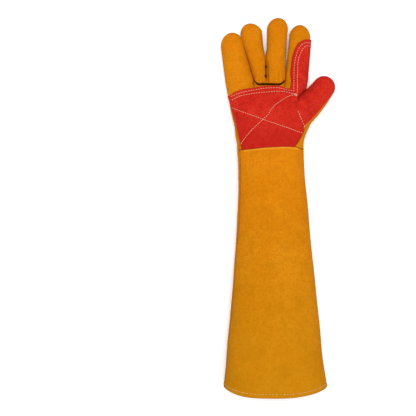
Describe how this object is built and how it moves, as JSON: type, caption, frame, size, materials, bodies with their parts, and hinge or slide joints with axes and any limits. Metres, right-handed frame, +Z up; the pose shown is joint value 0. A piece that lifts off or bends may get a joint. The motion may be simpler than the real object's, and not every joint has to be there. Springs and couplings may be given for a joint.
{
  "type": "welding gauntlet",
  "caption": "Long-sleeved right-hand welding gauntlet of golden split suede with a red palm reinforcement and thumb, lying palm up.",
  "frame": {"origin": "on the flat underside of the sleeve, 96 mm from the wrist seam toward the hem, on the sleeve's centre line", "axes": "+Y toward the fingertips, +Z up out of the palm side, +X toward the thumb; the gauntlet lies on its back"},
  "size_m": [0.1804, 0.5901, 0.078],
  "materials": {
    "suede_gold": "napped split suede, matt",
    "suede_red": "napped split suede, matt"
  },
  "bodies": {
    "root": {"sleeve_front": "suede_gold", "sleeve_back": "suede_gold", "back_panel": "suede_gold", "palm_panel": "suede_gold", "middle_ring_front": "suede_gold", "thumb_back": "suede_gold", "palm_patch": "suede_red", "thumb_front": "suede_red"}
  },
  "joints": []
}
